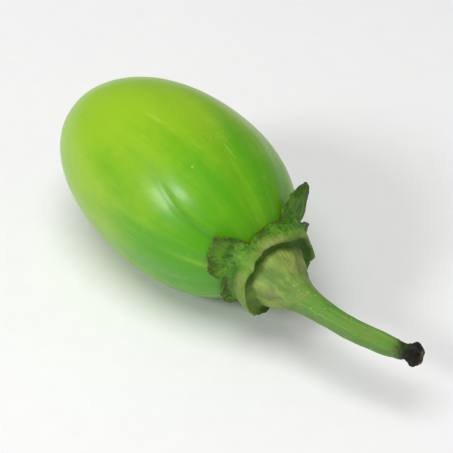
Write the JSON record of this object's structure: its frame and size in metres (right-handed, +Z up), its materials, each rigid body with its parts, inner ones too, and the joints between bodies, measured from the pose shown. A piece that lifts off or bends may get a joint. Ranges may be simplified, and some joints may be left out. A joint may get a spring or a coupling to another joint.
{
  "type": "scarlet eggplant",
  "caption": "Unripe green scarlet eggplant, as picked: a ribbed oval fruit lying on its side, capped by a lobed calyx with its cut stem.",
  "frame": {"origin": "middle of the small flat spot that the fruit rests on", "axes": "+Z up, +X along the lying fruit towards its stem, +Y across it"},
  "size_m": [0.12, 0.0453, 0.0451],
  "materials": {
    "skin": "glossy waxy skin, bright yellow-green with deeper green towards the stem and pale streaks",
    "calyx": "matt leafy green mottled with olive, browned along the edges",
    "stem": "satin green stalk, pale olive at its foot and dark brown at the cut"
  },
  "bodies": {
    "root": {"fruit": "skin", "calyx": "calyx", "stem": "stem"}
  },
  "joints": []
}
